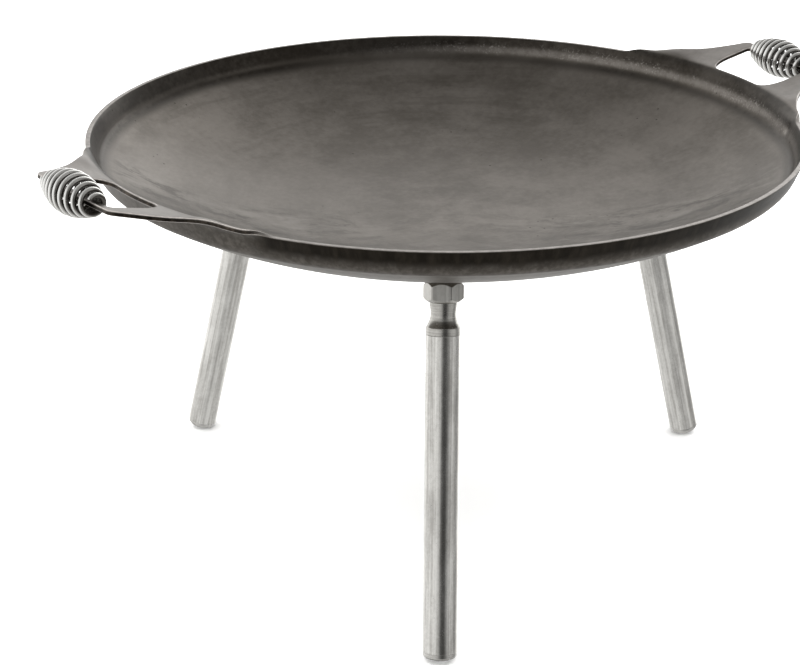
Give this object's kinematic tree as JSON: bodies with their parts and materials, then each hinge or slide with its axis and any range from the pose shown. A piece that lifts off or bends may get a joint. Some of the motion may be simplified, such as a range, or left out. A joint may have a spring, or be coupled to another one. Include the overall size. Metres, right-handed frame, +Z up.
{
  "type": "camp griddle plate",
  "caption": "Shallow dished steel griddle pan with a raised rim, two ear handles with loose spiral wire grips, and splayed screw-in tube legs.",
  "frame": {"origin": "on the floor under the centre of the dish", "axes": "+Z up, X across the two handles, which both sit 5.5 degrees towards -Y, first leg 4 degrees from +X"},
  "size_m": [0.5622, 0.4594, 0.2926],
  "materials": {
    "pan_steel": "dark seasoned hot-rolled plate, satin",
    "grip_wire": "bright plated wire",
    "nut_steel": "satin",
    "stud_steel": "turned, satin",
    "leg_steel": "drawn tube, satin",
    "foot_steel": "satin"
  },
  "bodies": {
    "pan": {"pan": "pan_steel", "leg_nut_1": "nut_steel", "leg_nut_2": "nut_steel", "leg_nut_3": "nut_steel"},
    "leg_1_stud": {"leg_stud_1": "stud_steel"},
    "leg_1": {"leg_tube_1": "leg_steel", "foot_cap_1": "foot_steel"},
    "leg_2_stud": {"leg_stud_2": "stud_steel"},
    "leg_2": {"leg_tube_2": "leg_steel", "foot_cap_2": "foot_steel"},
    "leg_3_stud": {"leg_stud_3": "stud_steel"},
    "leg_3": {"leg_tube_3": "leg_steel", "foot_cap_3": "foot_steel"},
    "grip_left": {"grip_coil_left": "grip_wire"},
    "grip_right": {"grip_coil_right": "grip_wire"}
  },
  "joints": [
    {"name": "leg_1_travel", "type": "slide", "parent": "pan", "child": "leg_1_stud", "axis": [0.2563, -0.0179, -0.9664], "range_m": [0, 0.01]},
    {"name": "leg_1_turn", "type": "hinge", "parent": "leg_1_stud", "child": "leg_1", "pos_m": [0.15063, -0.01053, 0.22205], "axis": [0.2563, -0.0179, -0.9664], "range_deg": [0, 1800.5]},
    {"name": "leg_2_travel", "type": "slide", "parent": "pan", "child": "leg_2_stud", "axis": [-0.1126, 0.2309, -0.9664], "range_m": [0, 0.01]},
    {"name": "leg_2_turn", "type": "hinge", "parent": "leg_2_stud", "child": "leg_2", "pos_m": [-0.06619, 0.13572, 0.22205], "axis": [-0.1126, 0.2309, -0.9664], "range_deg": [0, 1800.5]},
    {"name": "leg_3_travel", "type": "slide", "parent": "pan", "child": "leg_3_stud", "axis": [-0.1437, -0.213, -0.9664], "range_m": [0, 0.01]},
    {"name": "leg_3_turn", "type": "hinge", "parent": "leg_3_stud", "child": "leg_3", "pos_m": [-0.08444, -0.12518, 0.22205], "axis": [-0.1437, -0.213, -0.9664], "range_deg": [0, 1800.5]},
    {"name": "grip_left_spin", "type": "hinge", "parent": "pan", "child": "grip_left", "pos_m": [-0.26726, -0.02574, 0.27937], "axis": [-0.0958, 0.9954, 0], "continuous": true},
    {"name": "grip_right_spin", "type": "hinge", "parent": "pan", "child": "grip_right", "pos_m": [0.26726, -0.02574, 0.27937], "axis": [0.0958, 0.9954, 0], "continuous": true}
  ],
  "couplings": [
    {"joint": "leg_1_turn", "follows": "leg_1_travel", "rad_per_m": 3141.6},
    {"joint": "leg_2_turn", "follows": "leg_2_travel", "rad_per_m": 3141.6},
    {"joint": "leg_3_turn", "follows": "leg_3_travel", "rad_per_m": 3141.6}
  ]
}
